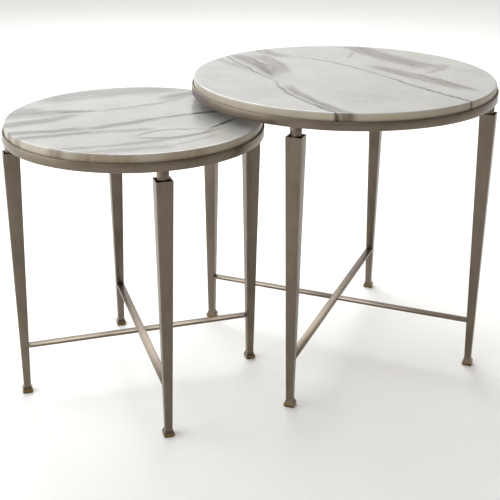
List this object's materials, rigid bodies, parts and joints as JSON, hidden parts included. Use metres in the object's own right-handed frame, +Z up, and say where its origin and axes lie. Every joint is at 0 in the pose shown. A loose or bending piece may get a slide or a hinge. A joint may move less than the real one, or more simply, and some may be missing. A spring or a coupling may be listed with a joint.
{
  "type": "nesting tables",
  "caption": "Round nesting tables: a lower one that slides partly under a taller one, each a loose marble slab in a flat metal hoop on tapered square legs with a cross stretcher.",
  "frame": {"origin": "on the floor, at the middle of the pair's length and width when nested as modelled", "axes": "+X from the small table to the large one, which is the way the small one slides; +Z up; +Y across"},
  "size_m": [0.9834, 0.61, 0.592],
  "materials": {
    "marble": "polished white marble with grey and taupe veins",
    "pewter_metal": "brushed steel with a warm pewter patina, worn brown at the feet",
    "steel_screw": "plain zinc-plated steel",
    "rubber_pad": "soft translucent pad",
    "nylon_glide": "dark moulded nylon"
  },
  "bodies": {
    "large_table": {"large_hoop": "pewter_metal", "large_support_ledge": "pewter_metal", "large_leg_1": "pewter_metal", "large_leg_2": "pewter_metal", "large_leg_3": "pewter_metal", "large_leg_4": "pewter_metal", "large_neck_1": "pewter_metal", "large_neck_2": "pewter_metal", "large_neck_3": "pewter_metal", "large_neck_4": "pewter_metal", "large_foot_1": "pewter_metal", "large_foot_2": "pewter_metal", "large_foot_3": "pewter_metal", "large_foot_4": "pewter_metal", "large_glide_1": "nylon_glide", "large_glide_2": "nylon_glide", "large_glide_3": "nylon_glide", "large_glide_4": "nylon_glide", "large_fixing_screw_1": "steel_screw", "large_fixing_screw_2": "steel_screw", "large_fixing_screw_3": "steel_screw", "large_fixing_screw_4": "steel_screw", "large_pad_1": "rubber_pad", "large_pad_2": "rubber_pad", "large_pad_3": "rubber_pad", "large_pad_4": "rubber_pad", "large_long_stretcher": "pewter_metal", "large_half_stretcher_1": "pewter_metal", "large_half_stretcher_2": "pewter_metal"},
    "large_slab": {"large_marble_top": "marble"},
    "small_table": {"small_hoop": "pewter_metal", "small_support_ledge": "pewter_metal", "small_leg_1": "pewter_metal", "small_leg_2": "pewter_metal", "small_leg_3": "pewter_metal", "small_leg_4": "pewter_metal", "small_neck_1": "pewter_metal", "small_neck_2": "pewter_metal", "small_neck_3": "pewter_metal", "small_neck_4": "pewter_metal", "small_foot_1": "pewter_metal", "small_foot_2": "pewter_metal", "small_foot_3": "pewter_metal", "small_foot_4": "pewter_metal", "small_glide_1": "nylon_glide", "small_glide_2": "nylon_glide", "small_glide_3": "nylon_glide", "small_glide_4": "nylon_glide", "small_fixing_screw_1": "steel_screw", "small_fixing_screw_2": "steel_screw", "small_fixing_screw_3": "steel_screw", "small_fixing_screw_4": "steel_screw", "small_pad_1": "rubber_pad", "small_pad_2": "rubber_pad", "small_pad_3": "rubber_pad", "small_pad_4": "rubber_pad", "small_long_stretcher": "pewter_metal", "small_half_stretcher_1": "pewter_metal", "small_half_stretcher_2": "pewter_metal"},
    "small_slab": {"small_marble_top": "marble"}
  },
  "joints": [
    {"name": "small_table_slide", "type": "slide", "parent": "large_table", "child": "small_table", "axis": [-1, 0, 0], "range_m": [-0.03, 0.26]},
    {"name": "large_top_lift", "type": "slide", "parent": "large_table", "child": "large_slab", "axis": [0, 0, 1], "range_m": [0, 0.12]},
    {"name": "small_top_lift", "type": "slide", "parent": "small_table", "child": "small_slab", "axis": [0, 0, 1], "range_m": [0, 0.012]}
  ]
}
